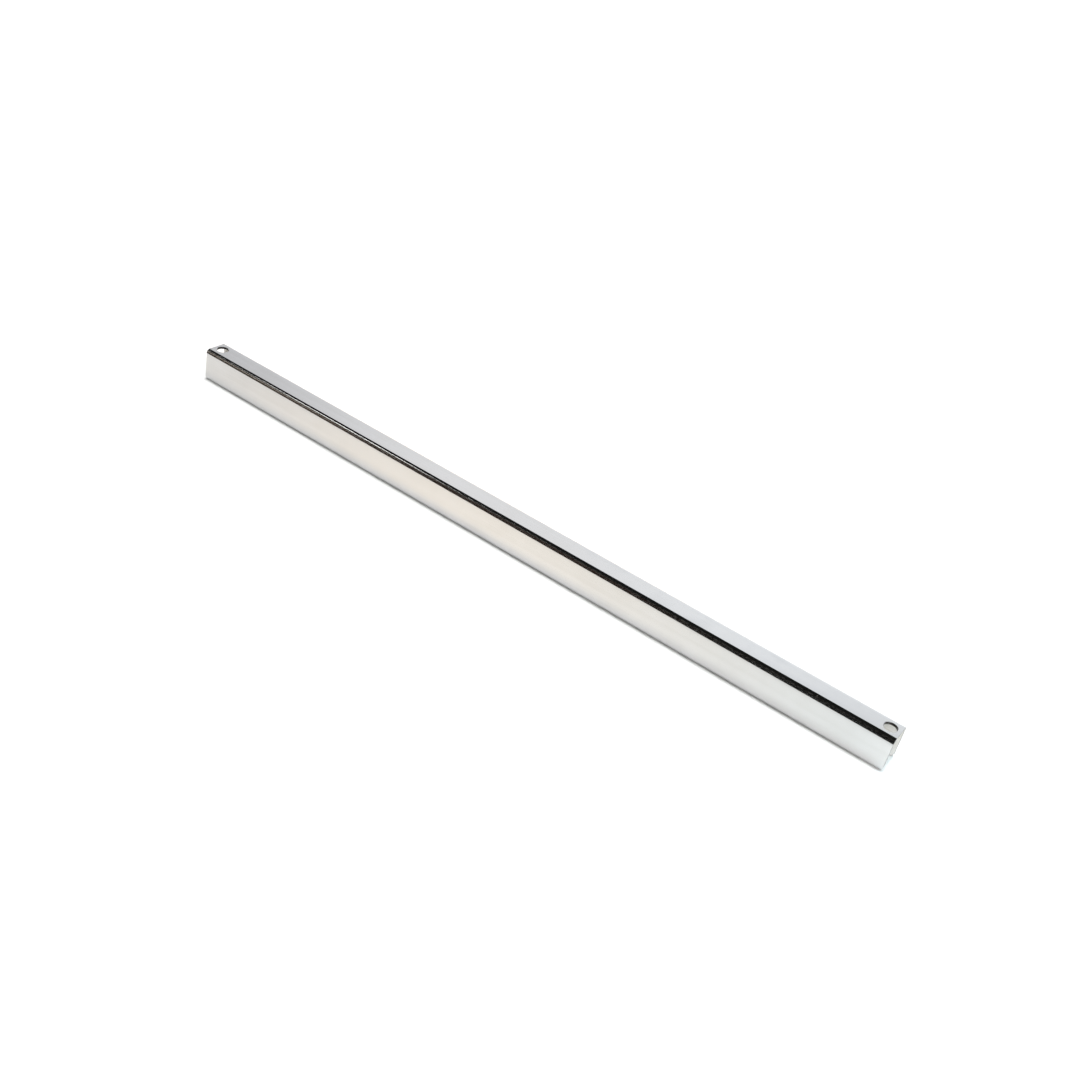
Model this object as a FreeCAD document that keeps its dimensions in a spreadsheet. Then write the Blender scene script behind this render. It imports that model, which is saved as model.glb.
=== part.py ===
"""Knife magnetic rack: a folded, polished channel with a magnet pack bonded inside it.

The rack lies on its open side. X runs along the bar, -Y is the front wall, +Z is the closed face
that the knives hang on. The origin is at the middle of the open side. Sizes are in millimetres.
"""
import FreeCAD
import Part
import Sketcher

import math
import os

MAGNETS = 10

SIZES = (
    # alias, value, what it is
    ("bar_length", 457.0, "length of the channel"),
    ("bar_width", 15.2, "width of the closed face, over the walls"),
    ("bar_height", 19.0, "depth of the walls, from the open side to the closed face"),
    ("sheet", 1.2, "thickness of the channel's sheet"),
    ("bend_radius", 2.4, "outer radius of the two bends"),
    ("corner_radius", 1.5, "rounding of the walls' free corners"),
    ("hole_diameter", 6.6, "screw holes in the closed face"),
    ("hole_inset", 5.5, "from a channel end to its hole's centre"),
    ("hole_rim", 0.5, "rounding of a hole's outer rim"),
    ("end_bay", 14.0, "empty length at each channel end, for the screw"),
    ("pole_thick", 2.0, "thickness of a pole strip"),
    ("pole_break", 0.4, "least chamfer of a pole strip's long edges"),
    ("tape_thick", 1.0, "thickness of the bonding tape"),
    ("magnet_drop", 0.6, "how far a magnet's faces lie inside the pole strips' edges"),
    ("magnet_break", 0.4, "chamfer of a magnet's edges"),
    ("spacer_length", 4.0, "gap between two magnets, filled by a spacer"),
    ("end_block_length", 6.5, "length of an end block"),
    ("backing_thick", 3.0, "thickness of the backing strip"),
    ("backing_recess", 0.5, "how far the backing strip lies inside the walls' free edges"),
    ("backing_break", 0.5, "chamfer of the backing strip's long edges"),
)

# Sizes and levels that follow from the driving values, as expressions.
INNER_WIDTH = "(Sizes.bar_width - 2 * Sizes.sheet)"
WEB_UNDERSIDE = "(Sizes.bar_height - Sizes.sheet)"
BEND_START = "(Sizes.bar_height - Sizes.bend_radius)"
BACKING_TOP = "(Sizes.backing_recess + Sizes.backing_thick)"
PACK_LENGTH = "(Sizes.bar_length - 2 * Sizes.end_bay)"
POLE_HEIGHT = f"({WEB_UNDERSIDE} - {BACKING_TOP})"
# A pole strip's chamfer also clears what the inside of the bend takes beyond the tape.
POLE_BREAK = "max(Sizes.pole_break; Sizes.bend_radius - Sizes.sheet - Sizes.tape_thick)"
TAPE_HEIGHT = f"({BEND_START} - {BACKING_TOP})"
CORE_WIDTH = f"({INNER_WIDTH} - 2 * Sizes.tape_thick - 2 * Sizes.pole_thick)"
MAGNET_HEIGHT = f"({POLE_HEIGHT} - 2 * Sizes.magnet_drop)"
MAGNET_BASE = f"({BACKING_TOP} + Sizes.magnet_drop)"
ROW_LENGTH = f"({PACK_LENGTH} - 2 * Sizes.end_block_length)"
MAGNET_LENGTH = f"(({ROW_LENGTH} - {MAGNETS - 1} * Sizes.spacer_length) / {MAGNETS})"
MAGNET_PITCH = f"({MAGNET_LENGTH} + Sizes.spacer_length)"
POLE_OFFSET = f"(({CORE_WIDTH} + Sizes.pole_thick) / 2)"
TAPE_OFFSET = f"(({INNER_WIDTH} - Sizes.tape_thick) / 2)"
END_BLOCK_OFFSET = f"(({ROW_LENGTH} + Sizes.end_block_length) / 2)"


def make_sheet(doc):
    """Fill the spreadsheet of driving dimensions."""
    table = doc.addObject("Spreadsheet::Sheet", "Sizes")
    for row, (alias, value, note) in enumerate(SIZES, start=1):
        table.set(f"A{row}", note)
        table.set(f"B{row}", str(value))
        table.setAlias(f"B{row}", alias)
    doc.recompute()
    return table


def new_body(doc, label):
    """Add an empty body whose label is the sub-part's name."""
    body = doc.addObject("PartDesign::Body", label)
    body.Label = label
    return body


def new_sketch(body, name, role):
    """Add a sketch on one of the body's own origin planes."""
    sketch = body.newObject("Sketcher::SketchObject", name)
    plane = next(item for item in body.Origin.OriginFeatures if item.Role == role)
    sketch.AttachmentSupport = [(plane, "")]
    sketch.MapMode = "FlatFace"
    return sketch


def bind_constraint(sketch, name, expression, kind, *terms):
    """Add a driving constraint of a kind, name it and bind it to an expression."""
    index = sketch.addConstraint(Sketcher.Constraint(kind, *terms))
    sketch.renameConstraint(index, name)
    sketch.setExpression(f"Constraints.{name}", expression)


def place(body, x=None, y=None, z=None):
    """Bind the body's position to expressions."""
    for axis, expression in (("x", x), ("y", y), ("z", z)):
        if expression is not None:
            body.setExpression(f"Placement.Base.{axis}", expression)


def pad_both_ways(body, sketch, length):
    """Pad a section by half its length to each side of its plane."""
    pad = body.newObject("PartDesign::Pad", "Pad")
    pad.Profile = sketch
    pad.SideType = "Symmetric"
    pad.setExpression("Length", length)
    return pad


def edge_names(shape, test):
    """Name the edges of a shape that pass a test."""
    return [f"Edge{i}" for i, edge in enumerate(shape.Edges, start=1) if test(edge)]


def runs_along(axis):
    """Give a test for straight edges along one axis: 0 is X, 1 is Y, 2 is Z."""

    def test(edge):
        if edge.Curve.TypeId != "Part::GeomLine":
            return False
        return abs(edge.tangentAt(edge.FirstParameter)[axis]) > 0.999

    return test


def any_edge(edge):
    """Pass every edge."""
    return True


def dress(body, kind, name, base, edges, prop, expression):
    """Add a chamfer or a fillet on the named edges of a feature."""
    feature = body.newObject(f"PartDesign::{kind}", name)
    feature.Base = (base, edges)
    feature.setExpression(prop, expression)
    return feature


# ---- the channel ----------------------------------------------------------------------------


def draw_channel_section(sketch, width, height, sheet, bend):
    """Draw the folded section, open downwards, and bind it to the driving values."""
    x = width / 2
    inner = bend - sheet
    up = FreeCAD.Vector(0, 0, 1)
    left = FreeCAD.Vector(-x + bend, height - bend, 0)
    right = FreeCAD.Vector(x - bend, height - bend, 0)

    def line(x0, y0, x1, y1):
        ends = (FreeCAD.Vector(x0, y0, 0), FreeCAD.Vector(x1, y1, 0))
        return sketch.addGeometry(Part.LineSegment(*ends))

    def quarter(centre, radius, start):
        circle = Part.Circle(centre, up, radius)
        return sketch.addGeometry(Part.ArcOfCircle(circle, start, start + math.pi / 2))

    wall_l = line(-x, 0, -x, height - bend)
    bend_l = quarter(left, bend, math.pi / 2)
    web = line(-x + bend, height, x - bend, height)
    bend_r = quarter(right, bend, 0.0)
    wall_r = line(x, height - bend, x, 0)
    foot_r = line(x, 0, x - sheet, 0)
    inside_r = line(x - sheet, 0, x - sheet, height - bend)
    inner_r = quarter(right, inner, 0.0)
    ceiling = line(x - bend, height - sheet, -x + bend, height - sheet)
    inner_l = quarter(left, inner, math.pi / 2)
    inside_l = line(-x + sheet, height - bend, -x + sheet, 0)
    foot_l = line(-x + sheet, 0, -x, 0)

    tangents = (
        (wall_l, 2, bend_l, 2), (bend_l, 1, web, 1), (web, 2, bend_r, 2), (bend_r, 1, wall_r, 1),
        (inside_r, 2, inner_r, 1), (inner_r, 2, ceiling, 1), (ceiling, 2, inner_l, 1),
        (inner_l, 2, inside_l, 1),
    )
    for ends in tangents:
        sketch.addConstraint(Sketcher.Constraint("Tangent", *ends))
    corners = (
        (wall_r, 2, foot_r, 1), (foot_r, 2, inside_r, 1), (inside_l, 2, foot_l, 1),
        (foot_l, 2, wall_l, 1),
    )
    for ends in corners:
        sketch.addConstraint(Sketcher.Constraint("Coincident", *ends))
    for edge in (wall_l, wall_r):
        sketch.addConstraint(Sketcher.Constraint("Vertical", edge))
    for edge in (web, foot_r, foot_l):
        sketch.addConstraint(Sketcher.Constraint("Horizontal", edge))
    sketch.addConstraint(Sketcher.Constraint("Coincident", bend_l, 3, inner_l, 3))
    sketch.addConstraint(Sketcher.Constraint("Coincident", bend_r, 3, inner_r, 3))
    sketch.addConstraint(Sketcher.Constraint("Equal", bend_l, bend_r))
    sketch.addConstraint(Sketcher.Constraint("Equal", inner_l, inner_r))
    sketch.addConstraint(Sketcher.Constraint("Symmetric", foot_l, 2, foot_r, 1, -1, 1))
    bind_constraint(sketch, "Width", "Sizes.bar_width", "DistanceX", foot_l, 2, foot_r, 1, width)
    bind_constraint(sketch, "Height", "Sizes.bar_height", "DistanceY", foot_l, 2, web, 1, height)
    bind_constraint(sketch, "Sheet", "Sizes.sheet", "DistanceX", foot_l, 2, foot_l, 1, sheet)
    bind_constraint(sketch, "Bend", "Sizes.bend_radius", "Radius", bend_l, bend)


def draw_hole_pair(sketch, radius, offset):
    """Draw one screw hole on each side of the middle."""
    up = FreeCAD.Vector(0, 0, 1)
    circles = []
    for side in (-1, 1):
        centre = FreeCAD.Vector(side * offset, 0, 0)
        circles.append(sketch.addGeometry(Part.Circle(centre, up, radius)))
    left, right = circles
    sketch.addConstraint(Sketcher.Constraint("Equal", left, right))
    sketch.addConstraint(Sketcher.Constraint("Symmetric", left, 3, right, 3, -1, 1))
    sketch.addConstraint(Sketcher.Constraint("PointOnObject", right, 3, -1))
    bind_constraint(sketch, "Hole", "Sizes.hole_diameter", "Diameter", left, 2 * radius)
    spacing = "Sizes.bar_length - 2 * Sizes.hole_inset"
    bind_constraint(sketch, "Spacing", spacing, "DistanceX", left, 3, right, 3, 2 * offset)


def make_channel(doc, table):
    """Fold the channel, punch its two screw holes and round its free corners."""
    body = new_body(doc, "channel_cover")
    section = new_sketch(body, "ChannelSection", "YZ_Plane")
    draw_channel_section(section, table.bar_width, table.bar_height, table.sheet, table.bend_radius)
    pad = pad_both_ways(body, section, "Sizes.bar_length")
    doc.recompute()
    before = pad.Shape.Volume

    holes = new_sketch(body, "ScrewHoles", "XY_Plane")
    draw_hole_pair(holes, table.hole_diameter / 2, table.bar_length / 2 - table.hole_inset)
    pocket = body.newObject("PartDesign::Pocket", "Punch")
    pocket.Profile = holes
    pocket.Type = "ThroughAll"
    pocket.Reversed = True
    doc.recompute()
    punched = before - pocket.Shape.Volume
    expected = 2 * math.pi * (table.hole_diameter / 2) ** 2 * table.sheet
    if abs(punched - expected) > 0.01 * expected:
        raise RuntimeError(f"the screw holes took {punched:.2f} mm3, not {expected:.2f}")

    def at_free_corner(edge):
        return runs_along(1)(edge) and edge.BoundBox.ZMax < 0.001

    corners = edge_names(pocket.Shape, at_free_corner)
    rounded = dress(body, "Fillet", "FreeCorners", pocket, corners, "Radius", "Sizes.corner_radius")
    doc.recompute()

    def at_outer_rim(edge):
        return edge.Curve.TypeId == "Part::GeomCircle" and edge.BoundBox.ZMin > table.bar_height - 0.001

    rims = edge_names(rounded.Shape, at_outer_rim)
    dress(body, "Fillet", "HoleRims", rounded, rims, "Radius", "Sizes.hole_rim")
    return body


# ---- the magnet pack ------------------------------------------------------------------------


def draw_rectangle(sketch, wide, tall):
    """Draw a rectangle centred across its plane, standing on the horizontal axis.

    It is drawn as a unit square first, and the two bound lengths give it its size.
    """
    x = 0.5
    points = [FreeCAD.Vector(*p, 0) for p in ((-x, 0), (x, 0), (x, 2 * x), (-x, 2 * x))]
    sides = []
    for start, end in zip(points, points[1:] + points[:1]):
        sides.append(sketch.addGeometry(Part.LineSegment(start, end)))
    for side, following in zip(sides, sides[1:] + sides[:1]):
        sketch.addConstraint(Sketcher.Constraint("Coincident", side, 2, following, 1))
    for side in (sides[0], sides[2]):
        sketch.addConstraint(Sketcher.Constraint("Horizontal", side))
    for side in (sides[1], sides[3]):
        sketch.addConstraint(Sketcher.Constraint("Vertical", side))
    sketch.addConstraint(Sketcher.Constraint("Symmetric", sides[0], 1, sides[0], 2, -1, 1))
    bind_constraint(sketch, "Wide", wide, "DistanceX", sides[0], 1, sides[0], 2, 2 * x)
    bind_constraint(sketch, "Tall", tall, "DistanceY", sides[1], 1, sides[1], 2, 2 * x)


def make_block(doc, label, length, wide, tall, base, edge_break=None, every_edge=False):
    """Make a straight piece along X, with chamfered long edges or chamfered edges all round."""
    body = new_body(doc, label)
    section = new_sketch(body, "Section", "YZ_Plane")
    draw_rectangle(section, wide, tall)
    pad = pad_both_ways(body, section, length)
    if edge_break is not None:
        doc.recompute()
        picked = edge_names(pad.Shape, any_edge if every_edge else runs_along(0))
        dress(body, "Chamfer", "EdgeBreak", pad, picked, "Size", edge_break)
    place(body, z=base)
    return body


def make_pole_strips(doc):
    """Stand the two steel strips on edge against the back of the closed face."""
    strips = []
    for label, sign in (("pole_strip_front", "-"), ("pole_strip_rear", "")):
        strip = make_block(
            doc, label, PACK_LENGTH, "Sizes.pole_thick", POLE_HEIGHT, BACKING_TOP, POLE_BREAK,
        )
        place(strip, y=sign + POLE_OFFSET)
        strips.append(strip)
    return strips


def make_tapes(doc):
    """Fill the gap between each pole strip and its wall with bonding tape."""
    tapes = []
    for label, sign in (("bonding_tape_front", "-"), ("bonding_tape_rear", "")):
        tape = make_block(doc, label, PACK_LENGTH, "Sizes.tape_thick", TAPE_HEIGHT, BACKING_TOP)
        place(tape, y=sign + TAPE_OFFSET)
        tapes.append(tape)
    return tapes


def make_magnet_row(doc):
    """Set the magnets and the spacers between them in one row between the pole strips."""
    row = []
    for i in range(MAGNETS):
        magnet = make_block(
            doc, f"magnet_{i + 1:02d}", MAGNET_LENGTH, CORE_WIDTH, MAGNET_HEIGHT, MAGNET_BASE,
            "Sizes.magnet_break", every_edge=True,
        )
        place(magnet, x=f"{i - (MAGNETS - 1) / 2} * {MAGNET_PITCH}")
        row.append(magnet)
    for i in range(MAGNETS - 1):
        spacer = make_block(
            doc, f"spacer_{i + 1:02d}", "Sizes.spacer_length", CORE_WIDTH, MAGNET_HEIGHT, MAGNET_BASE,
        )
        place(spacer, x=f"{i - (MAGNETS - 2) / 2} * {MAGNET_PITCH}")
        row.append(spacer)
    return row


def make_end_blocks(doc):
    """Close the two ends of the magnet row."""
    blocks = []
    for label, sign in (("end_block_left", "-"), ("end_block_right", "")):
        block = make_block(doc, label, "Sizes.end_block_length", CORE_WIDTH, POLE_HEIGHT, BACKING_TOP)
        place(block, x=sign + END_BLOCK_OFFSET)
        blocks.append(block)
    return blocks


def make_backing(doc):
    """Close the pack on the open side, just inside the walls' free edges."""
    return make_block(
        doc, "backing_strip", PACK_LENGTH, INNER_WIDTH, "Sizes.backing_thick", "Sizes.backing_recess",
        "Sizes.backing_break",
    )


# ---- build, check and write ------------------------------------------------------------------


def check(doc, pieces):
    """Stop if any object failed or any sub-part's shape is missing or broken."""
    for item in doc.Objects:
        if "Invalid" in item.State or "Error" in item.State:
            raise RuntimeError(f"{item.Label} failed: {item.State}")
    for piece in pieces:
        shape = piece.Shape
        if shape.isNull() or not shape.isValid() or len(shape.Solids) != 1:
            raise RuntimeError(f"{piece.Label} has no single valid solid")


def main():
    doc = FreeCAD.newDocument("KnifeMagneticRack")
    table = make_sheet(doc)
    pieces = [make_channel(doc, table)]
    pieces += make_pole_strips(doc)
    pieces += make_tapes(doc)
    pieces += make_magnet_row(doc)
    pieces += make_end_blocks(doc)
    pieces.append(make_backing(doc))
    doc.recompute()
    check(doc, pieces)
    os.makedirs("parts", exist_ok=True)
    for piece in pieces:
        piece.Shape.exportStep(os.path.join("parts", piece.Label + ".step"))
        box = piece.Shape.BoundBox
        print(f"{piece.Label}: {box.XLength:.2f} x {box.YLength:.2f} x {box.ZLength:.2f} mm,"
              f" {piece.Shape.Volume:.1f} mm3")


main()
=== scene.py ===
"""Knife magnetic rack: a folded steel bar with a bonded magnet pack, lying on a pale floor.

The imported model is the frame. X runs along the bar, -Y is the front wall and +Z is the closed face
that the knives hang on. Every length is in metres.
"""
import logging
import math
from dataclasses import dataclass, field
from enum import Enum

import bpy
from mathutils import Matrix, Vector


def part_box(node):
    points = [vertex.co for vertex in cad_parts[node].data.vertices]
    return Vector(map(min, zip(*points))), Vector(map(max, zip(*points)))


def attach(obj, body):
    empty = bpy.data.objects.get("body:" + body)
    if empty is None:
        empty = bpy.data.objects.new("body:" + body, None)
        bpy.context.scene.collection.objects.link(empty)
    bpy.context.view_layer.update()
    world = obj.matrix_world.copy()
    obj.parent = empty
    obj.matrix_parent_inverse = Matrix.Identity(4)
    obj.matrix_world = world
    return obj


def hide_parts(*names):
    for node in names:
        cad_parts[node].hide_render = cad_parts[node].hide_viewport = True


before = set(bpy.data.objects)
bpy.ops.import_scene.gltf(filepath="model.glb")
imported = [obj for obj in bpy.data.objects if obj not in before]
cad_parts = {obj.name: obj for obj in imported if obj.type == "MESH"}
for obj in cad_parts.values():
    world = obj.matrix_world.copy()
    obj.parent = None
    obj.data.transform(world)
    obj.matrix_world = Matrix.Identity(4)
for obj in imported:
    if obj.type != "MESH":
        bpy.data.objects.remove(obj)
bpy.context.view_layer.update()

LOG = logging.getLogger("knife_rack")
BODY = "root"
MM = 0.001

Colour = tuple[float, float, float]
Point = tuple[float, float, float]
Socket = bpy.types.NodeSocket
Feed = Socket | float | int | bool | tuple


class Grain(Enum):
    """How a finish's pattern is stretched, as cycles per metre along X, Y and Z."""

    BRUSHED = (7.0, 420.0, 420.0)
    HAIRLINE = (45.0, 2600.0, 2600.0)
    SAWN = (2400.0, 2400.0, 160.0)
    EXTRUDED = (3.0, 1500.0, 1500.0)
    EVEN = (1.0, 1.0, 1.0)


class Graph:
    """A node tree that is being wired."""

    def __init__(self, tree: bpy.types.NodeTree) -> None:
        """Keep the tree.

        Args:
            tree: the material's, world's or geometry's node tree.
        """
        self.tree = tree

    def add(self, kind: str, feeds: dict | None = None, **settings: object) -> bpy.types.Node:
        """Add a node, set its options and feed its sockets.

        Args:
            kind: the node's type name.
            feeds: a value or a socket for each input, by name or number.
            settings: the node's own options.

        Returns:
            The new node.
        """
        node = self.tree.nodes.new(kind)
        for name, value in settings.items():
            setattr(node, name, value)
        for key, value in (feeds or {}).items():
            socket = node.inputs[key]
            if isinstance(value, Socket):
                self.tree.links.new(value, socket)
            elif socket.type == "RGBA":
                socket.default_value = (*value, 1.0)
            else:
                socket.default_value = value
        return node

    def make(self, kind: str, feeds: dict | None = None, **settings: object) -> Socket:
        """Add a node as add() does, and give its first output."""
        return self.add(kind, feeds, **settings).outputs[0]

    def math(self, operation: str, *feeds: Feed) -> Socket:
        """Add a math node.

        Args:
            operation: the node's operation.
            feeds: its one to three values.

        Returns:
            The result's socket.
        """
        return self.make("ShaderNodeMath", dict(enumerate(feeds)), operation=operation)

    def vector(self, x: Feed, y: Feed, z: Feed) -> Socket:
        """Join three values to a vector."""
        return self.make("ShaderNodeCombineXYZ", {"X": x, "Y": y, "Z": z})

    def split(self, vector: Feed) -> bpy.types.bpy_prop_collection:
        """Part a vector into its X, Y and Z sockets."""
        return self.add("ShaderNodeSeparateXYZ", {0: vector}).outputs

    def weigh(self, first: Feed, share: float, second: Feed) -> Socket:
        """Add two patterns, the first by its share and the second by what is left."""
        return self.math("MULTIPLY_ADD", first, share, self.math("MULTIPLY", second, 1.0 - share))

    def span(self, value: Feed, low: Feed, high: Feed, start: Feed = 0.0, end: Feed = 1.0) -> Socket:
        """Map a value's range to another range, smoothly and held at both ends.

        Args:
            value: the value to map.
            low: the value that gives start.
            high: the value that gives end.
            start: the result at and before low.
            end: the result at and beyond high.

        Returns:
            The result's socket.
        """
        feeds = {"Value": value, "From Min": low, "From Max": high, "To Min": start, "To Max": end}
        return self.make("ShaderNodeMapRange", feeds, interpolation_type="SMOOTHSTEP")

    def place(self) -> Socket:
        """Give the object coordinates."""
        return self.add("ShaderNodeTexCoord").outputs["Object"]

    def endwise(self) -> Socket:
        """Give 1 on the faces square to the bar's length and 0 on those along it."""
        facing = self.split(self.add("ShaderNodeNewGeometry").outputs["Normal"])
        return self.span(self.math("ABSOLUTE", facing["X"]), 0.6, 0.9)

    def noise(self, where: Feed, scale: float, detail: float = 2.0, grain: Grain = Grain.EVEN) -> Socket:
        """Add a noise pattern.

        Args:
            where: the coordinates to read.
            scale: cycles per metre, on top of the grain's own.
            detail: how many finer layers it has.
            grain: how the pattern is stretched.

        Returns:
            The pattern's value, about 0.5 on average.
        """
        if grain is not Grain.EVEN:
            where = self.make("ShaderNodeMapping", {"Vector": where, "Scale": grain.value})
        return self.make("ShaderNodeTexNoise", {"Vector": where, "Scale": scale, "Detail": detail})

    def cells(self, where: Feed, scale: float) -> Socket:
        """Give the distance to the nearest of many scattered points, as a share of their spacing."""
        return self.add("ShaderNodeTexVoronoi", {"Vector": where, "Scale": scale}).outputs["Distance"]

    def blend(self, share: Feed, first: Feed, second: Feed) -> Socket:
        """Mix two colours.

        Args:
            share: 0 for the first colour, 1 for the second.
            first: a colour or its socket.
            second: a colour or its socket.

        Returns:
            The mixed colour's socket.
        """
        return self.add("ShaderNodeMix", {0: share, 6: first, 7: second}, data_type="RGBA").outputs[2]

    def relief(self, height: Feed, depth: float, under: Feed | None = None) -> Socket:
        """Turn a height pattern into a surface normal.

        Args:
            height: the pattern, 0 to 1.
            depth: how deep it is, in metres.
            under: the normal of a coarser relief below this one.

        Returns:
            The normal's socket.
        """
        feeds: dict = {"Height": height, "Distance": depth, "Strength": 1.0}
        if under is not None:
            feeds["Normal"] = under
        return self.make("ShaderNodeBump", feeds)

    def shader(self, **feeds: Feed) -> Socket:
        """Add the surface shader, with its sockets named in lower case and _ for a space."""
        named = {}
        for name, value in feeds.items():
            named[name.replace("_", " ").title().replace("Ior", "IOR")] = value
        return self.make("ShaderNodeBsdfPrincipled", named)


# ---- finishes ----------------------------------------------------------------------------------


@dataclass(frozen=True)
class Finish:
    """What a surface is made of and how it was worked.

    Fields that end in _scale are patterns' cycles per metre, and _depth are reliefs in metres.
    """

    name: str

    def surface(self, graph: Graph) -> Socket:
        """Wire the finish and give its shader."""
        raise NotImplementedError

    def build(self) -> bpy.types.Material:
        """Make the finish's material.

        Returns:
            The material, with nodes that read object coordinates.
        """
        material = bpy.data.materials.new(self.name)
        material.use_nodes = True
        material.node_tree.nodes.clear()
        graph = Graph(material.node_tree)
        graph.add("ShaderNodeOutputMaterial", {"Surface": self.surface(graph)})
        return material


@dataclass(frozen=True)
class PolishedSheet(Finish):
    """Stainless sheet polished along its length, with hairlines, haze and a few pin marks."""

    name: str = "polished_steel_sheet"
    clean: Colour = (0.600, 0.603, 0.606)
    dull: Colour = (0.563, 0.563, 0.560)
    mark: Colour = (0.33, 0.31, 0.28)
    gloss: float = 0.09
    brushing: float = 0.05
    haze: float = 0.04
    pin_rough: float = 0.3
    sway_scale: float = 11.0
    haze_scale: float = 70.0
    pin_scale: float = 60.0
    sway_depth: float = 60e-6
    brush_depth: float = 0.8e-6
    hairline_depth: float = 0.2e-6

    def surface(self, graph: Graph) -> Socket:
        """Wire the finish and give its shader."""
        where = graph.place()
        brush = graph.noise(where, 1.0, 4.0, Grain.BRUSHED)
        hairline = graph.noise(where, 1.0, 2.0, Grain.HAIRLINE)
        sway = graph.noise(where, self.sway_scale, 1.0)
        haze = graph.noise(where, self.haze_scale, 5.0)
        pin = graph.span(graph.cells(where, self.pin_scale), 0.014, 0.026, 1.0, 0.0)
        tone = graph.span(graph.weigh(brush, 0.6, haze), 0.35, 0.65)
        colour = graph.blend(pin, graph.blend(tone, self.dull, self.clean), self.mark)
        rough = graph.math("MULTIPLY_ADD", graph.span(brush, 0.3, 0.7), self.brushing, self.gloss)
        rough = graph.math("MULTIPLY_ADD", graph.span(haze, 0.45, 0.75), self.haze, rough)
        rough = graph.math("MULTIPLY_ADD", pin, self.pin_rough, rough)
        normal = graph.relief(sway, self.sway_depth)
        normal = graph.relief(brush, self.brush_depth, normal)
        normal = graph.relief(hairline, self.hairline_depth, normal)
        return graph.shader(base_color=colour, metallic=1.0, roughness=rough, normal=normal)


@dataclass(frozen=True)
class DullInside(Finish):
    """The sheet's unpolished inner side: rolled and oxidised, under a skin of old adhesive."""

    name: str = "dull_inside"
    pale: Colour = (0.80, 0.79, 0.77)
    grey: Colour = (0.66, 0.64, 0.61)
    smear: Colour = (0.46, 0.41, 0.34)
    cloud_scale: float = 180.0
    smear_scale: float = 90.0
    smear_rough: float = 0.12
    rolled_depth: float = 3e-6

    def surface(self, graph: Graph) -> Socket:
        """Wire the finish and give its shader."""
        where = graph.place()
        rolled = graph.noise(where, 1.0, 3.0, Grain.HAIRLINE)
        cloud = graph.noise(where, self.cloud_scale, 4.0)
        smear = graph.span(graph.noise(where, self.smear_scale, 3.0), 0.60, 0.70)
        tone = graph.span(graph.weigh(rolled, 0.4, cloud), 0.38, 0.62)
        rough = graph.span(cloud, 0.3, 0.7, 0.44, 0.56)
        return graph.shader(
            base_color=graph.blend(smear, graph.blend(tone, self.grey, self.pale), self.smear),
            metallic=0.25, roughness=graph.math("MULTIPLY_ADD", smear, self.smear_rough, rough),
            normal=graph.relief(rolled, self.rolled_depth),
        )


@dataclass(frozen=True)
class ShearedEdge(Finish):
    """A cut through the sheet: burnished and torn patches and fine lines through the thickness."""

    name: str = "sheared_edge"
    burnished: Colour = (0.27, 0.26, 0.255)
    torn: Colour = (0.12, 0.115, 0.11)
    patch_scale: float = 700.0
    line_depth: float = 6e-6

    def surface(self, graph: Graph) -> Socket:
        """Wire the finish and give its shader."""
        where = graph.place()
        line = graph.noise(where, 1.0, 3.0, Grain.SAWN)
        patch = graph.noise(where, self.patch_scale, 3.0)
        tone = graph.span(graph.weigh(line, 0.5, patch), 0.40, 0.62)
        return graph.shader(
            base_color=graph.blend(tone, self.torn, self.burnished), metallic=1.0,
            roughness=graph.span(patch, 0.3, 0.7, 0.26, 0.44), normal=graph.relief(line, self.line_depth),
        )


@dataclass(frozen=True)
class ZincPlate(Finish):
    """Mild steel flat with a clear zinc plating, and bare saw-cut ends."""

    name: str = "zinc_plated_flat"
    bright: Colour = (0.62, 0.63, 0.64)
    cloudy: Colour = (0.44, 0.45, 0.47)
    sawn: Colour = (0.36, 0.34, 0.32)
    rust: Colour = (0.20, 0.11, 0.06)
    cut_rough: float = 0.18
    cloud_scale: float = 160.0
    rust_scale: float = 520.0
    line_depth: float = 8e-6

    def surface(self, graph: Graph) -> Socket:
        """Wire the finish and give its shader."""
        where = graph.place()
        cloud = graph.noise(where, self.cloud_scale, 4.0)
        drawn = graph.noise(where, 1.0, 3.0, Grain.HAIRLINE)
        saw = graph.noise(where, 1.0, 3.0, Grain.SAWN)
        cut = graph.endwise()
        uncut = graph.math("SUBTRACT", 1.0, cut)
        plate = graph.blend(graph.span(cloud, 0.35, 0.65), self.cloudy, self.bright)
        rusty = graph.span(graph.noise(where, self.rust_scale, 3.0), 0.56, 0.72)
        line = graph.math("MULTIPLY_ADD", saw, cut, graph.math("MULTIPLY", drawn, uncut))
        rough = graph.math("MULTIPLY_ADD", cut, self.cut_rough, graph.span(cloud, 0.3, 0.7, 0.30, 0.46))
        return graph.shader(
            base_color=graph.blend(cut, plate, graph.blend(rusty, self.sawn, self.rust)),
            metallic=1.0, roughness=rough, normal=graph.relief(line, self.line_depth),
        )


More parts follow.
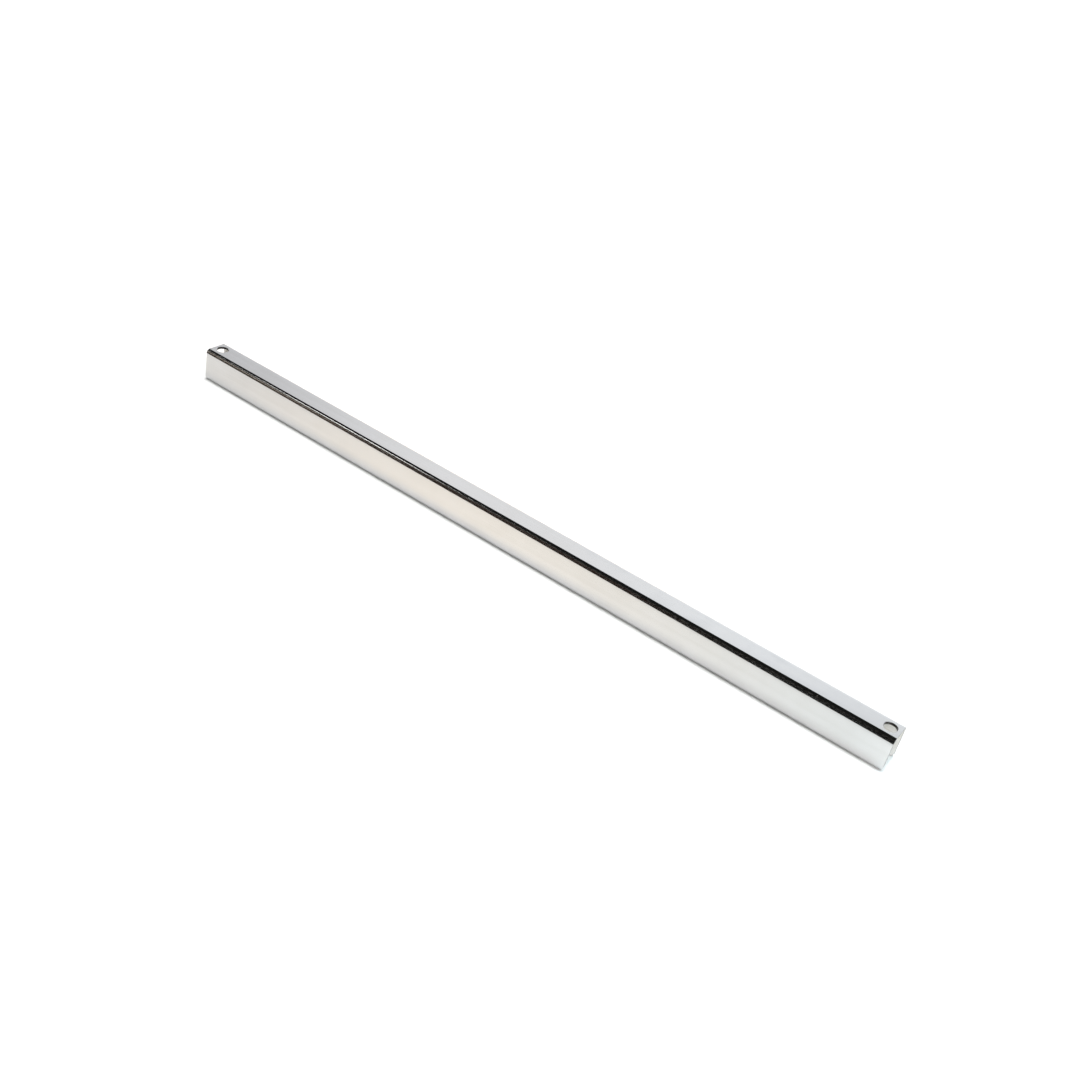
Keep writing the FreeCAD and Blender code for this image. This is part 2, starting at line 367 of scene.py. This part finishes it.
@dataclass(frozen=True)
class SinteredFerrite(Finish):
    """Hard, dark, pressed and sintered ceramic with a fine open grain and worn arrises."""

    name: str = "sintered_ferrite"
    body: Colour = (0.035, 0.035, 0.038)
    ground: Colour = (0.085, 0.085, 0.09)
    grain_scale: float = 2600.0
    patch_scale: float = 120.0
    pit_scale: float = 900.0
    grain_depth: float = 22e-6
    pit_depth: float = 30e-6

    def surface(self, graph: Graph) -> Socket:
        """Wire the finish and give its shader."""
        where = graph.place()
        grain = graph.noise(where, self.grain_scale, 4.0)
        patch = graph.noise(where, self.patch_scale, 3.0)
        pit = graph.span(graph.cells(where, self.pit_scale), 0.10, 0.22)
        tone = graph.span(graph.weigh(grain, 0.5, patch), 0.35, 0.7)
        return graph.shader(
            base_color=graph.blend(tone, self.body, self.ground),
            roughness=graph.span(patch, 0.3, 0.7, 0.52, 0.70),
            normal=graph.relief(pit, self.pit_depth, graph.relief(grain, self.grain_depth)),
        )


@dataclass(frozen=True)
class MouldedPlastic(Finish):
    """Natural ivory plastic from a mould, a little see-through, with flow marks and a fine texture."""

    name: str = "natural_moulded_plastic"
    pale: Colour = (0.80, 0.78, 0.71)
    deep: Colour = (0.70, 0.66, 0.57)
    flow_scale: float = 230.0
    skin_scale: float = 3200.0
    skin_depth: float = 9e-6
    see_through: float = 0.15
    see_depth: float = 0.0012

    def surface(self, graph: Graph) -> Socket:
        """Wire the finish and give its shader."""
        where = graph.place()
        flow = graph.noise(where, self.flow_scale, 3.0)
        skin = graph.noise(where, self.skin_scale, 3.0)
        return graph.shader(
            base_color=graph.blend(graph.span(flow, 0.35, 0.65), self.deep, self.pale),
            roughness=graph.span(flow, 0.3, 0.7, 0.38, 0.52), subsurface_weight=self.see_through,
            subsurface_scale=self.see_depth, normal=graph.relief(skin, self.skin_depth),
        )


@dataclass(frozen=True)
class ExtrudedPlastic(Finish):
    """Black extruded plastic with die lines along it, and ends whitened by the saw."""

    name: str = "black_extruded_plastic"
    body: Colour = (0.018, 0.018, 0.020)
    sheen: Colour = (0.040, 0.040, 0.043)
    sawn: Colour = (0.11, 0.11, 0.115)
    cut_rough: float = 0.25
    line_depth: float = 12e-6

    def surface(self, graph: Graph) -> Socket:
        """Wire the finish and give its shader."""
        where = graph.place()
        line = graph.noise(where, 1.0, 3.0, Grain.EXTRUDED)
        saw = graph.noise(where, 1.0, 3.0, Grain.SAWN)
        cut = graph.endwise()
        skin = graph.blend(graph.span(line, 0.35, 0.65), self.body, self.sheen)
        whitened = graph.math("MULTIPLY", cut, graph.span(saw, 0.4, 0.65))
        rough = graph.math("MULTIPLY_ADD", cut, self.cut_rough, graph.span(line, 0.3, 0.7, 0.34, 0.46))
        return graph.shader(
            base_color=graph.blend(whitened, skin, self.sawn), roughness=rough,
            normal=graph.relief(graph.blend(cut, line, saw), self.line_depth),
        )


@dataclass(frozen=True)
class FoamTape(Finish):
    """Grey closed-cell foam tape, cut clean so that its cells show."""

    name: str = "grey_foam_tape"
    wall: Colour = (0.34, 0.34, 0.35)
    hollow: Colour = (0.16, 0.16, 0.165)
    cell_scale: float = 3600.0
    patch_scale: float = 300.0
    cell_depth: float = 70e-6

    def surface(self, graph: Graph) -> Socket:
        """Wire the finish and give its shader."""
        where = graph.place()
        cell = graph.cells(where, self.cell_scale)
        patch = graph.noise(where, self.patch_scale)
        tone = graph.math("MULTIPLY_ADD", patch, 0.4, graph.span(cell, 0.1, 0.75, 0.0, 0.6))
        return graph.shader(
            base_color=graph.blend(tone, self.hollow, self.wall), roughness=0.88,
            normal=graph.relief(cell, self.cell_depth),
        )


@dataclass(frozen=True)
class StudioPaper(Finish):
    """Pale, matt paper with a barely visible tooth."""

    name: str = "pale_floor"
    light: Colour = (0.90, 0.90, 0.90)
    dark: Colour = (0.88, 0.88, 0.88)
    tooth_scale: float = 35.0

    def surface(self, graph: Graph) -> Socket:
        """Wire the finish and give its shader."""
        tooth = graph.noise(graph.place(), self.tooth_scale, 3.0)
        tone = graph.blend(tooth, self.dark, self.light)
        return graph.shader(base_color=tone, roughness=0.95, specular_ior_level=0.0)


@dataclass(frozen=True)
class BlackCard(Finish):
    """Black card whose near edge fades out over a soft strip, and may run at a slant to the X axis."""

    name: str = "black_card"
    near: float = 0.0
    soft: float = 0.01
    slant: float = 0.0
    black: Colour = (0.012, 0.011, 0.010)

    def surface(self, graph: Graph) -> Socket:
        """Wire the finish and give its shader."""
        place = graph.split(graph.place())
        ahead = graph.math("MULTIPLY_ADD", place["X"], -self.slant, place["Y"])
        solid = graph.span(ahead, self.near - self.soft, self.near, 1.0, 0.0)
        card = graph.shader(base_color=self.black, roughness=0.9, specular_ior_level=0.0)
        clear = graph.make("ShaderNodeBsdfTransparent")
        return graph.make("ShaderNodeMixShader", {0: solid, 1: clear, 2: card})


# ---- the channel -------------------------------------------------------------------------------


def drop_empty_slots(mesh: bpy.types.Mesh) -> None:
    """Take away a mesh's empty material slots, and keep each face's material.

    Args:
        mesh: the mesh, changed in place.
    """
    worn = [mesh.materials[face.material_index] for face in mesh.polygons]
    kept = [material for material in mesh.materials if material is not None]
    mesh.materials.clear()
    for material in kept:
        mesh.materials.append(material)
    for face, material in zip(mesh.polygons, worn):
        face.material_index = kept.index(material)


@dataclass
class FoldedChannel:
    """The bar's one folded sheet: a closed face, two walls, two screw holes and four round corners.

    Its outer sizes are the frame's own. The others are the sheet maker's.
    """

    node: str = "channel_cover"
    name: str = "folded_channel"
    sheet: float = 1.2 * MM
    bend_radius: float = 2.4 * MM
    corner_radius: float = 1.5 * MM
    hole_radius: float = 3.3 * MM
    hole_inset: float = 5.5 * MM
    hole_rim: float = 0.5 * MM
    edge_break: float = 0.14 * MM
    edge_steps: int = 3
    overrun: float = 5.0 * MM
    bend_steps: int = 20
    corner_steps: int = 12
    rim_steps: int = 8
    hole_sides: int = 72
    rim_turn: float = math.radians(80)
    sharp_turn: float = math.radians(40)
    leaning: float = 0.3
    # Rim faces of a hole that tilt further than this from upright take the bores' near-black finish, as
    # painted shade.
    rim_shade_tilt: float = 0.75
    corner_margin: float = 1.05
    ceiling_share: float = 0.95
    finishes: dict[str, Finish] = field(default_factory=lambda: {
        "Outside": PolishedSheet(), "Inside": DullInside(), "Cut Edges": ShearedEdge(),
        # The bores' finish is near black and also covers the inner part of each hole's rounded rim: painted
        # shade standing in for the dark reflection inside the holes.
        "Bores And Painted Rim Shade": ShearedEdge("punched_bore_painted_shade", (0.10, 0.095, 0.09), (0.035, 0.032, 0.03)),
    })

    def sizes(self) -> dict[str, float]:
        """Give the tree's inputs.

        Returns:
            Each named size, in metres.
        """
        low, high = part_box(self.node)
        return {
            "Length": high[0] - low[0], "Width": high[1] - low[1], "Height": high[2] - low[2],
            "Sheet": self.sheet, "Bend Radius": self.bend_radius, "Corner Radius": self.corner_radius,
            "Hole Radius": self.hole_radius, "Hole Inset": self.hole_inset, "Hole Rim": self.hole_rim,
        }

    def prism(self, graph: Graph, outline: Feed, start: Feed, end: Feed) -> Socket:
        """Sweep a closed outline along a straight line and close its ends.

        Args:
            graph: the geometry tree.
            outline: the outline's curve.
            start: where the line starts.
            end: where the line ends.

        Returns:
            The solid's socket.
        """
        line = graph.make("GeometryNodeCurvePrimitiveLine", {"Start": start, "End": end})
        line = graph.make("GeometryNodeSetCurveNormal", {"Curve": line}, mode="Z_UP")
        feeds = {"Curve": line, "Profile Curve": outline, "Fill Caps": True}
        return graph.make("GeometryNodeCurveToMesh", feeds)

    def fold(self, graph: Graph, size: dict[str, Socket]) -> Socket:
        """Draw the folded section by a rule on its eight corners, and sweep it past both ends.

        Corners 0 to 3 are the outer ones, from the left foot over the closed face to the right foot.
        Corners 4 to 7 are the inner ones, on the way back. The feet start below the bar, for trimming.

        Args:
            graph: the geometry tree.
            size: the tree's named inputs.

        Returns:
            The over-long folded sheet.
        """
        corner = graph.make("GeometryNodeInputIndex")
        inner = graph.math("GREATER_THAN", corner, 3.5)
        right = graph.math("LESS_THAN", graph.math("ABSOLUTE", graph.math("SUBTRACT", corner, 3.5)), 2.0)
        turn = graph.math("SUBTRACT", graph.math("MODULO", corner, 4.0), 1.5)
        top = graph.math("LESS_THAN", graph.math("ABSOLUTE", turn), 1.0)
        inward = graph.math("MULTIPLY", inner, size["Sheet"])
        across = graph.math("SUBTRACT", graph.math("MULTIPLY", size["Width"], 0.5), inward)
        across = graph.math("MULTIPLY", across, graph.math("MULTIPLY_ADD", right, 2.0, -1.0))
        level = graph.math("SUBTRACT", graph.math("ADD", size["Height"], self.overrun), inward)
        level = graph.math("SUBTRACT", graph.math("MULTIPLY", level, top), self.overrun)
        where = graph.vector(graph.math("MULTIPLY", across, -1.0), graph.math("MULTIPLY", level, -1.0), 0.0)
        points = graph.make("GeometryNodeMeshLine", {"Count": 8})
        points = graph.make("GeometryNodeSetPosition", {"Geometry": points, "Position": where})
        outline = graph.make("GeometryNodeMeshToCurve", {"Mesh": points})
        outline = graph.make("GeometryNodeSetSplineCyclic", {"Geometry": outline, "Cyclic": True})
        radius = graph.math("MULTIPLY", top, graph.math("SUBTRACT", size["Bend Radius"], inward))
        feeds = {"Curve": outline, "Count": self.bend_steps, "Radius": radius}
        outline = graph.make("GeometryNodeFilletCurve", feeds, mode="POLY")
        half = graph.math("MULTIPLY_ADD", size["Length"], 0.5, self.overrun)
        ends = [graph.vector(graph.math("MULTIPLY", half, side), 0.0, 0.0) for side in (-1.0, 1.0)]
        return self.prism(graph, outline, *ends)

    def side_view(self, graph: Graph, size: dict[str, Socket]) -> Socket:
        """Make the solid of the bar's side view, with its lower corners rounded.

        Args:
            graph: the geometry tree.
            size: the tree's named inputs.

        Returns:
            The solid that trims the sheet's ends and feet.
        """
        tall = graph.math("MULTIPLY", size["Height"], 2.0)
        feeds = {"Width": size["Length"], "Height": tall}
        outline = graph.make("GeometryNodeCurvePrimitiveQuadrilateral", feeds)
        lift = graph.vector(0.0, graph.math("MULTIPLY", size["Height"], -1.0), 0.0)
        outline = graph.make("GeometryNodeTransform", {"Geometry": outline, "Translation": lift})
        feeds = {"Curve": outline, "Count": self.corner_steps, "Radius": size["Corner Radius"]}
        outline = graph.make("GeometryNodeFilletCurve", feeds, mode="POLY")
        ends = [graph.vector(0.0, graph.math("MULTIPLY", size["Width"], side), 0.0) for side in (-1.0, 1.0)]
        return self.prism(graph, outline, *ends)

    def punch(self, graph: Graph, size: dict[str, Socket]) -> Socket:
        """Make the punch that leaves a hole with a rounded outer rim.

        Args:
            graph: the geometry tree.
            size: the tree's named inputs.

        Returns:
            The punch, standing on the Z axis at its working height.
        """
        last = self.rim_steps + 2
        step = graph.make("GeometryNodeInputIndex")
        turn = graph.math("MAXIMUM", graph.math("SUBTRACT", step, 1.0), 0.0)
        turn = graph.math("MINIMUM", turn, self.rim_steps)
        turn = graph.math("MULTIPLY", turn, self.rim_turn / self.rim_steps)
        first = graph.math("LESS_THAN", step, 0.5)
        beyond = graph.math("GREATER_THAN", step, last - 0.5)
        rise = graph.math("SUBTRACT", graph.math("SINE", turn), 1.0)
        up = graph.math("MULTIPLY_ADD", rise, size["Hole Rim"], size["Height"])
        up = graph.math("MULTIPLY_ADD", first, -self.overrun, up)
        up = graph.math("MULTIPLY_ADD", beyond, math.cos(self.rim_turn) * MM, up)
        flare = graph.math("SUBTRACT", 1.0, graph.math("COSINE", turn))
        wide = graph.math("MULTIPLY_ADD", flare, size["Hole Rim"], size["Hole Radius"])
        wide = graph.math("MULTIPLY_ADD", beyond, math.sin(self.rim_turn) * MM, wide)
        points = graph.make("GeometryNodeMeshLine", {"Count": last + 1})
        feeds = {"Geometry": points, "Position": graph.vector(0.0, 0.0, up)}
        points = graph.make("GeometryNodeSetPosition", feeds)
        path = graph.make("GeometryNodeMeshToCurve", {"Mesh": points})
        ring = graph.make("GeometryNodeCurvePrimitiveCircle", {"Resolution": self.hole_sides, "Radius": 1.0})
        feeds = {"Curve": path, "Profile Curve": ring, "Scale": wide, "Fill Caps": True}
        return graph.make("GeometryNodeCurveToMesh", feeds)

    def hole_pair(self, graph: Graph, size: dict[str, Socket]) -> Socket:
        """Stand one punch near each end of the bar.

        Args:
            graph: the geometry tree.
            size: the tree's named inputs.

        Returns:
            Both punches, as real geometry.
        """
        reach = graph.math("SUBTRACT", graph.math("MULTIPLY", size["Length"], 0.5), size["Hole Inset"])
        start = graph.vector(graph.math("MULTIPLY", reach, -1.0), 0.0, 0.0)
        apart = graph.vector(graph.math("MULTIPLY", reach, 2.0), 0.0, 0.0)
        feeds = {"Count": 2, "Start Location": start, "Offset": apart}
        points = graph.make("GeometryNodeMeshLine", feeds)
        feeds = {"Points": points, "Instance": self.punch(graph, size)}
        stood = graph.make("GeometryNodeInstanceOnPoints", feeds)
        return graph.make("GeometryNodeRealizeInstances", {"Geometry": stood})

    def sides(self, graph: Graph, size: dict[str, Socket]) -> dict[str, Feed]:
        """Tell the sheet's inner side, cut edges, and bores with their rims painted dark as shade, from its
        polished side, face by face.

        Args:
            graph: the geometry tree.
            size: the tree's named inputs.

        Returns:
            The faces that take each finish, by the finish's input, in the order of painting.
        """
        place = graph.split(graph.make("GeometryNodeInputPosition"))
        facing = graph.split(graph.make("GeometryNodeInputNormal"))
        low = graph.math("LESS_THAN", place["Z"], graph.math("MULTIPLY", size["Height"], 0.5))
        down = graph.math("LESS_THAN", facing["Z"], -self.leaning)
        inward = graph.math("LESS_THAN", graph.math("MULTIPLY", facing["Y"], place["Y"]), 0.0)
        ceiling = graph.math("MULTIPLY", size["Sheet"], self.ceiling_share)
        under = graph.math("LESS_THAN", place["Z"], graph.math("SUBTRACT", size["Height"], ceiling))
        inside = graph.math("MULTIPLY", graph.math("MAXIMUM", inward, down), under)
        margin = graph.math("MULTIPLY", size["Corner Radius"], -self.corner_margin)
        reach = graph.math("MULTIPLY_ADD", size["Length"], 0.5, margin)
        at_end = graph.math("GREATER_THAN", graph.math("ABSOLUTE", place["X"]), reach)
        endwise = graph.math("GREATER_THAN", graph.math("ABSOLUTE", facing["X"]), self.leaning)
        foot = graph.math("MULTIPLY", low, down)
        cut = graph.math("MAXIMUM", graph.math("MULTIPLY", at_end, endwise), foot)
        # The bores and the inner part of their rounded rims take the near-black bore finish: painted shade.
        upright = graph.math("LESS_THAN", facing["Z"], self.rim_shade_tilt)
        elsewhere = graph.math("MAXIMUM", under, at_end)
        bore_and_rim_shade = graph.math("MULTIPLY", upright, graph.math("SUBTRACT", 1.0, elsewhere))
        return {"Outside": True, "Inside": inside, "Cut Edges": cut, "Bores And Painted Rim Shade": bore_and_rim_shade}

    def tree(self) -> bpy.types.NodeTree:
        """Wire the folded channel's geometry.

        Returns:
            The node tree, with a named input for each size and for each finish.
        """
        tree = bpy.data.node_groups.new("folded_channel_rule", "GeometryNodeTree")
        for name in self.sizes():
            tree.interface.new_socket(name, in_out="INPUT", socket_type="NodeSocketFloat")
        for name in self.finishes:
            tree.interface.new_socket(name, in_out="INPUT", socket_type="NodeSocketMaterial")
        tree.interface.new_socket("Geometry", in_out="OUTPUT", socket_type="NodeSocketGeometry")
        graph = Graph(tree)
        given = graph.add("NodeGroupInput").outputs
        size = {name: given[name] for name in self.sizes()}
        trims = ((self.side_view(graph, size), "INTERSECT"), (self.hole_pair(graph, size), "DIFFERENCE"))
        made = self.fold(graph, size)
        for tool, operation in trims:
            cut = graph.add("GeometryNodeMeshBoolean", operation=operation, solver="EXACT")
            first = "Mesh 1" if operation == "DIFFERENCE" else "Mesh 2"
            graph.tree.links.new(made, cut.inputs[first])
            graph.tree.links.new(tool, cut.inputs["Mesh 2"])
            made = cut.outputs[0]
        made = graph.make("GeometryNodeSetShadeSmooth", {"Geometry": made, "Shade Smooth": True})
        made = graph.make("GeometryNodeRealizeInstances", {"Geometry": made})
        for name, faces in self.sides(graph, size).items():
            feeds = {"Geometry": made, "Selection": faces, "Material": given[name]}
            made = graph.make("GeometryNodeSetMaterial", feeds)
        graph.add("NodeGroupOutput", {"Geometry": made})
        return tree

    def build(self) -> bpy.types.Object:
        """Make the channel as a plain mesh that replaces the frame's own.

        Returns:
            The finished piece, riding on the bar's one body.
        """
        tree = self.tree()
        carrier = bpy.data.objects.new("channel_maker", bpy.data.meshes.new("channel_maker"))
        bpy.context.scene.collection.objects.link(carrier)
        maker = carrier.modifiers.new("Fold", "NODES")
        maker.node_group = tree
        given = self.sizes() | {name: finish.build() for name, finish in self.finishes.items()}
        for item in tree.interface.items_tree:
            if item.in_out == "INPUT":
                maker[item.identifier] = given[item.name]
        edges = carrier.modifiers.new("EdgeBreak", "BEVEL")
        edges.width, edges.segments = self.edge_break, self.edge_steps
        edges.angle_limit = self.sharp_turn
        edges.use_clamp_overlap = False
        graph = bpy.context.evaluated_depsgraph_get()
        mesh = bpy.data.meshes.new_from_object(carrier.evaluated_get(graph))
        bpy.data.objects.remove(carrier)
        bpy.data.node_groups.remove(tree)
        mesh.name = self.name
        drop_empty_slots(mesh)
        mesh.set_sharp_from_angle(angle=self.sharp_turn)
        piece = bpy.data.objects.new(self.name, mesh)
        bpy.context.scene.collection.objects.link(piece)
        flats = piece.modifiers.new("FlatFaces", "WEIGHTED_NORMAL")
        flats.mode, flats.keep_sharp = "FACE_AREA", True
        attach(piece, BODY)
        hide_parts(self.node)
        LOG.info("%s: %d faces", piece.name, len(mesh.polygons))
        return piece


# ---- the magnet pack ---------------------------------------------------------------------------


@dataclass
class MagnetPack:
    """The pack bonded inside the channel. The frame gives its shapes, and this gives its finishes."""

    magnets: int = 10
    finishes: dict[str, Finish] = field(default_factory=lambda: {
        "pole_strip": ZincPlate(), "magnet": SinteredFerrite(), "spacer": MouldedPlastic(),
        "end_block": MouldedPlastic(), "bonding_tape": FoamTape(), "backing_strip": ExtrudedPlastic(),
    })

    def members(self) -> dict[str, list[str]]:
        """List the frame's nodes of each kind.

        Returns:
            The node names, by the kind that names their finish.
        """
        return {
            "pole_strip": ["pole_strip_front", "pole_strip_rear"],
            "magnet": [f"magnet_{i:02d}" for i in range(1, self.magnets + 1)],
            "spacer": [f"spacer_{i:02d}" for i in range(1, self.magnets)],
            "end_block": ["end_block_left", "end_block_right"],
            "bonding_tape": ["bonding_tape_front", "bonding_tape_rear"],
            "backing_strip": ["backing_strip"],
        }

    def dress(self) -> None:
        """Give each node of the pack its finish."""
        made: dict[str, bpy.types.Material] = {}
        for kind, names in self.members().items():
            finish = self.finishes[kind]
            if finish.name not in made:
                made[finish.name] = finish.build()
            for name in names:
                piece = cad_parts[name]
                if not piece.material_slots:
                    piece.data.materials.append(None)
                for slot in piece.material_slots:
                    slot.material = made[finish.name]
            LOG.info("%s: %d dressed in %s", kind, len(names), finish.name)


# ---- the studio --------------------------------------------------------------------------------


@dataclass(frozen=True)
class SoftBox:
    """A rectangular soft light near the bar. It lights matt surfaces, and polished ones don't show it."""

    name: str
    place: Point
    aim: Point
    size: tuple[float, float]
    power: float
    colour: Colour = (1.0, 1.0, 1.0)

    def build(self) -> None:
        """Hang the light and point it."""
        lamp = bpy.data.lights.new(self.name, "AREA")
        lamp.shape, (lamp.size, lamp.size_y) = "RECTANGLE", self.size
        lamp.energy, lamp.color = self.power, self.colour
        hang(lamp, self.place, self.aim)


@dataclass(frozen=True)
class KeyLight:
    """The main light: far above the bar and a little behind it, so that the foot's shadow is narrow."""

    name: str = "key_panel"
    place: Point = (-0.04, 0.075, 1.0)
    spread: float = math.radians(9)
    strength: float = 2.5

    def build(self) -> None:
        """Hang the light so that it shines on the bar."""
        lamp = bpy.data.lights.new(self.name, "SUN")
        lamp.angle, lamp.energy = self.spread, self.strength
        hang(lamp, self.place, (0.0, 0.0, 0.0))


def hang(lamp: bpy.types.Light, place: Point, aim: Point) -> None:
    """Put a light in the scene, out of sight of the camera and of polished surfaces.

    Args:
        lamp: the light.
        place: where it hangs.
        aim: the point that it faces.
    """
    holder = bpy.data.objects.new(lamp.name, lamp)
    holder.location = place
    holder.rotation_euler = (Vector(aim) - Vector(place)).to_track_quat("-Z", "Y").to_euler()
    holder.visible_camera = holder.visible_glossy = False
    bpy.context.scene.collection.objects.link(holder)


@dataclass(frozen=True)
class Panel:
    """A glowing or coloured panel far away, as the range of directions that it fills.

    Its sides fade over soft either way along X, and over edge either way along Y and Z.
    """

    x: tuple[float, float]
    y: tuple[float, float]
    z: tuple[float, float]
    soft: float
    colour: Colour
    level: float
    edge: float = 0.015

    def wire(self, graph: Graph, way: list[Socket]) -> Socket:
        """Wire the panel's light in the world's tree.

        Args:
            graph: the world's tree.
            way: the three parts of the direction that is looked in.

        Returns:
            The panel's light as a vector socket.
        """
        share: Feed = self.level
        ranges = ((*self.x, self.soft), (*self.y, self.edge), (*self.z, self.edge))
        for part, (low, high, soft) in zip(way, ranges):
            share = graph.math("MULTIPLY", share, graph.span(part, low - soft, low + soft))
            share = graph.math("MULTIPLY", share, graph.span(part, high - soft, high + soft, 1.0, 0.0))
        return graph.make("ShaderNodeVectorMath", {0: self.colour, "Scale": share}, operation="SCALE")


@dataclass
class Studio:
    """A pale floor, soft lights, panels that the steel mirrors, a black card and the camera."""

    floor_side: float = 30.0
    floor_level: float = -0.35 * MM
    card_level: float = 0.3 * MM
    card_near: float = -0.0287
    card_soft: float = 0.005
    card_slant: float = 0.003
    card_far: float = -1.5
    card_half: float = 2.5
    camera_place: Point = (0.30248, -0.50824, 0.39362)
    camera_aim: Point = (0.02404, -0.00842, 0.0190)
    camera_roll: float = math.radians(12.686)
    lens_mm: float = 43.733
    sensor_mm: float = 36.0
    camera_range: tuple[float, float] = (0.01, 100.0)
    lights: tuple[SoftBox, ...] = (
        SoftBox(
            "warm_middle", (-0.035, 0.05, 0.19), (-0.035, -0.02, 0.0), (0.22, 0.06), 0.22, (1.0, 0.72, 0.39),
        ),
        SoftBox(
            "cool_right", (0.31, 0.05, 0.22), (0.25, -0.02, 0.0), (0.10, 0.06), 0.22, (0.66, 0.92, 1.0),
        ),
        SoftBox("end_fill", (0.285, -0.03, 0.012), (0.2285, 0.006, 0.01), (0.03, 0.02), 0.022),
    )
    panels: tuple[Panel, ...] = (
        Panel((-0.80, 1.2), (0.12, 1.2), (0.02, 0.615), 0.02, (1.0, 1.0, 1.03), 0.84),
        Panel((-0.56, 1.2), (0.12, 1.2), (0.02, 0.590), 0.09, (1.0, 0.995, 0.97), 0.36),
        Panel((-0.33, 1.2), (0.12, 1.2), (0.02, 0.640), 0.13, (0.85, 1.0, 1.1), 0.23),
        Panel((0.12, 1.2), (-1.2, 0.12), (-0.2, 1.2), 0.10, (1.0, 1.0, 1.0), 0.70),
        Panel((-1.2, -0.86), (-1.2, 1.2), (-0.2, 1.2), 0.06, (1.0, 1.0, 1.0), 0.65),
        Panel((-0.60, -0.505), (-0.70, -0.30), (0.36, 1.2), 0.02, (1.0, 1.0, 0.97), 4.6),
        Panel((-0.72, -0.60), (-0.74, -0.52), (0.33, 1.2), 0.02, (1.0, 0.97, 0.90), 3.6),
        Panel((-0.24, -0.09), (-0.88, -0.60), (0.25, 0.85), 0.03, (0.95, 1.0, 1.0), 0.32),
        Panel((-0.80, -0.553), (-0.95, -0.62), (-0.2, 0.42), 0.012, (0.18, 0.135, 0.098), 1.0),
        Panel((-0.55, -0.30), (-0.95, -0.55), (-0.2, 0.45), 0.08, (0.040, 0.016, 0.009), 1.0),
    )
    darkness: Colour = (0.012, 0.013, 0.012)

    def lay_floor(self) -> None:
        """Lay the pale floor."""
        half = self.floor_side / 2
        self.lay_sheet("floor", (-half, half), (-half, half), self.floor_level, StudioPaper())

    def lay_card(self) -> None:
        """Lay the black card in front, which only polished surfaces show.

        The sheet reaches to the nearest end of the card's slanted edge, and its finish fades out the rest.
        """
        across = (-self.card_half, self.card_half)
        paper = BlackCard(near=self.card_near, soft=self.card_soft, slant=self.card_slant)
        near = self.card_near + self.card_half * self.card_slant
        card = self.lay_sheet("black_card", across, (self.card_far, near), self.card_level, paper)
        card.visible_camera = card.visible_diffuse = card.visible_shadow = card.visible_transmission = False

    def lay_sheet(
        self, name: str, x: tuple[float, float], y: tuple[float, float], level: float, paper: Finish,
    ) -> bpy.types.Object:
        """Lay a flat sheet of the studio.

        Args:
            name: the sheet's name.
            x: its range along the bar.
            y: its range across the bar.
            level: its height.
            paper: its finish.

        Returns:
            The sheet.
        """
        corners = [(x[0], y[0], level), (x[1], y[0], level), (x[1], y[1], level), (x[0], y[1], level)]
        mesh = bpy.data.meshes.new(name)
        mesh.from_pydata(corners, [], [(0, 1, 2, 3)])
        mesh.materials.append(paper.build())
        sheet = bpy.data.objects.new(name, mesh)
        bpy.context.scene.collection.objects.link(sheet)
        return sheet

    def set_surroundings(self) -> None:
        """Hang the far panels round the bar, and show white to the camera."""
        world = bpy.data.worlds.new("studio")
        world.use_nodes = True
        world.node_tree.nodes.clear()
        graph = Graph(world.node_tree)
        way = list(graph.split(graph.add("ShaderNodeTexCoord").outputs["Generated"]))
        light: Feed = self.darkness
        for panel in self.panels:
            feeds = {0: light, 1: panel.wire(graph, way)}
            light = graph.make("ShaderNodeVectorMath", feeds, operation="ADD")
        glow = graph.make("ShaderNodeBackground", {"Color": light})
        white = graph.make("ShaderNodeBackground", {"Color": (1.0, 1.0, 1.0)})
        seen = graph.add("ShaderNodeLightPath").outputs["Is Camera Ray"]
        both = graph.make("ShaderNodeMixShader", {0: seen, 1: glow, 2: white})
        graph.add("ShaderNodeOutputWorld", {"Surface": both})
        bpy.context.scene.world = world

    def place_camera(self) -> None:
        """Stand the camera in front of the bar's right end, looking down on it."""
        lens = bpy.data.cameras.new("camera")
        lens.lens, lens.sensor_width = self.lens_mm, self.sensor_mm
        lens.clip_start, lens.clip_end = self.camera_range
        camera = bpy.data.objects.new("camera", lens)
        aim = (Vector(self.camera_aim) - Vector(self.camera_place)).to_track_quat("-Z", "Y").to_matrix()
        turned = aim @ Matrix.Rotation(self.camera_roll, 3, "Z")
        camera.matrix_world = Matrix.Translation(self.camera_place) @ turned.to_4x4()
        bpy.context.scene.collection.objects.link(camera)
        bpy.context.scene.camera = camera

    def build(self) -> None:
        """Set up the whole studio."""
        self.lay_floor()
        self.lay_card()
        self.set_surroundings()
        KeyLight().build()
        for light in self.lights:
            light.build()
        self.place_camera()
        bpy.context.scene.view_settings.view_transform = "Standard"
        LOG.info("studio: %d lights, %d panels", 1 + len(self.lights), len(self.panels))


def main() -> None:
    """Build the rack and its studio, in order."""
    logging.basicConfig(level=logging.INFO, format="%(name)s: %(message)s")
    FoldedChannel().build()
    MagnetPack().dress()
    Studio().build()


if __name__ == "__main__":
    main()
